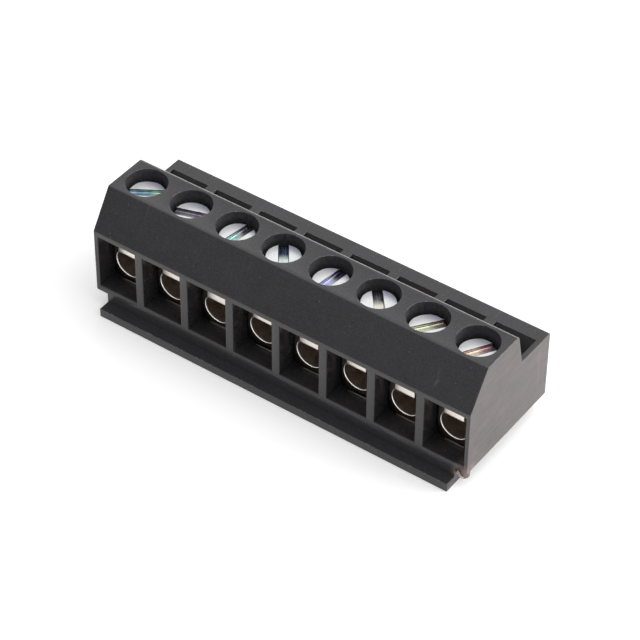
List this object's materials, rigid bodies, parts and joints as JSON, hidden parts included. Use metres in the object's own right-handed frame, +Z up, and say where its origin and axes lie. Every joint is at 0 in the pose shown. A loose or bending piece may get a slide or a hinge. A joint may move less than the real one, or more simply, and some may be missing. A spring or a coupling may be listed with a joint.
{
  "type": "pluggable terminal block",
  "caption": "Black moulded plug with a row of screw clamps: square wire entries in front, slotted screws on top, header pin entries underneath.",
  "frame": {"origin": "middle of the footprint, on the plane the block stands on", "axes": "+X along the row of poles, +Y from the wire side to the rear, +Z up"},
  "size_m": [0.04, 0.0136, 0.0124],
  "materials": {
    "moulded_black": "satin, lightly eroded mould surface",
    "plated_block": "tin plated, dull, a little brown",
    "zinc_screw": "bright zinc with faint coloured passivation",
    "tinned_guard": "matte tin",
    "tinned_contact": "tin plated"
  },
  "bodies": {
    "housing": {"housing": "moulded_black", "clamp_body_1": "plated_block", "clamp_body_2": "plated_block", "clamp_body_3": "plated_block", "clamp_body_4": "plated_block", "clamp_body_5": "plated_block", "clamp_body_6": "plated_block", "clamp_body_7": "plated_block", "clamp_body_8": "plated_block", "contact_fork_1": "tinned_contact", "contact_fork_2": "tinned_contact", "contact_fork_3": "tinned_contact", "contact_fork_4": "tinned_contact", "contact_fork_5": "tinned_contact", "contact_fork_6": "tinned_contact", "contact_fork_7": "tinned_contact", "contact_fork_8": "tinned_contact"},
    "guard_1": {"wire_guard_1": "tinned_guard"},
    "screw_1": {"clamp_screw_1": "zinc_screw"},
    "guard_2": {"wire_guard_2": "tinned_guard"},
    "screw_2": {"clamp_screw_2": "zinc_screw"},
    "guard_3": {"wire_guard_3": "tinned_guard"},
    "screw_3": {"clamp_screw_3": "zinc_screw"},
    "guard_4": {"wire_guard_4": "tinned_guard"},
    "screw_4": {"clamp_screw_4": "zinc_screw"},
    "guard_5": {"wire_guard_5": "tinned_guard"},
    "screw_5": {"clamp_screw_5": "zinc_screw"},
    "guard_6": {"wire_guard_6": "tinned_guard"},
    "screw_6": {"clamp_screw_6": "zinc_screw"},
    "guard_7": {"wire_guard_7": "tinned_guard"},
    "screw_7": {"clamp_screw_7": "zinc_screw"},
    "guard_8": {"wire_guard_8": "tinned_guard"},
    "screw_8": {"clamp_screw_8": "zinc_screw"}
  },
  "joints": [
    {"name": "guard_1_slide", "type": "slide", "parent": "housing", "child": "guard_1", "axis": [0, 0, -1], "range_m": [0, 0.0021]},
    {"name": "screw_1_turn", "type": "hinge", "parent": "guard_1", "child": "screw_1", "pos_m": [-0.0175, -0.00095, 0.0112], "axis": [0, 0, -1], "range_deg": [0, 1681]},
    {"name": "guard_2_slide", "type": "slide", "parent": "housing", "child": "guard_2", "axis": [0, 0, -1], "range_m": [0, 0.0021]},
    {"name": "screw_2_turn", "type": "hinge", "parent": "guard_2", "child": "screw_2", "pos_m": [-0.0125, -0.00095, 0.0112], "axis": [0, 0, -1], "range_deg": [0, 1681]},
    {"name": "guard_3_slide", "type": "slide", "parent": "housing", "child": "guard_3", "axis": [0, 0, -1], "range_m": [0, 0.0021]},
    {"name": "screw_3_turn", "type": "hinge", "parent": "guard_3", "child": "screw_3", "pos_m": [-0.0075, -0.00095, 0.01125], "axis": [0, 0, -1], "range_deg": [0, 1681]},
    {"name": "guard_4_slide", "type": "slide", "parent": "housing", "child": "guard_4", "axis": [0, 0, -1], "range_m": [0, 0.0021]},
    {"name": "screw_4_turn", "type": "hinge", "parent": "guard_4", "child": "screw_4", "pos_m": [-0.0025, -0.00095, 0.01133], "axis": [0, 0, -1], "range_deg": [0, 1681]},
    {"name": "guard_5_slide", "type": "slide", "parent": "housing", "child": "guard_5", "axis": [0, 0, -1], "range_m": [0, 0.0021]},
    {"name": "screw_5_turn", "type": "hinge", "parent": "guard_5", "child": "screw_5", "pos_m": [0.0025, -0.00095, 0.01122], "axis": [0, 0, -1], "range_deg": [0, 1681]},
    {"name": "guard_6_slide", "type": "slide", "parent": "housing", "child": "guard_6", "axis": [0, 0, -1], "range_m": [0, 0.0021]},
    {"name": "screw_6_turn", "type": "hinge", "parent": "guard_6", "child": "screw_6", "pos_m": [0.0075, -0.00095, 0.0113], "axis": [0, 0, -1], "range_deg": [0, 1681]},
    {"name": "guard_7_slide", "type": "slide", "parent": "housing", "child": "guard_7", "axis": [0, 0, -1], "range_m": [0, 0.0021]},
    {"name": "screw_7_turn", "type": "hinge", "parent": "guard_7", "child": "screw_7", "pos_m": [0.0125, -0.00095, 0.0112], "axis": [0, 0, -1], "range_deg": [0, 1681]},
    {"name": "guard_8_slide", "type": "slide", "parent": "housing", "child": "guard_8", "axis": [0, 0, -1], "range_m": [0, 0.0021]},
    {"name": "screw_8_turn", "type": "hinge", "parent": "guard_8", "child": "screw_8", "pos_m": [0.0175, -0.00095, 0.01113], "axis": [0, 0, -1], "range_deg": [0, 1681]}
  ],
  "couplings": [
    {"joint": "screw_1_turn", "follows": "guard_1_slide", "rad_per_m": 13963},
    {"joint": "screw_2_turn", "follows": "guard_2_slide", "rad_per_m": 13963},
    {"joint": "screw_3_turn", "follows": "guard_3_slide", "rad_per_m": 13963},
    {"joint": "screw_4_turn", "follows": "guard_4_slide", "rad_per_m": 13963},
    {"joint": "screw_5_turn", "follows": "guard_5_slide", "rad_per_m": 13963},
    {"joint": "screw_6_turn", "follows": "guard_6_slide", "rad_per_m": 13963},
    {"joint": "screw_7_turn", "follows": "guard_7_slide", "rad_per_m": 13963},
    {"joint": "screw_8_turn", "follows": "guard_8_slide", "rad_per_m": 13963}
  ]
}
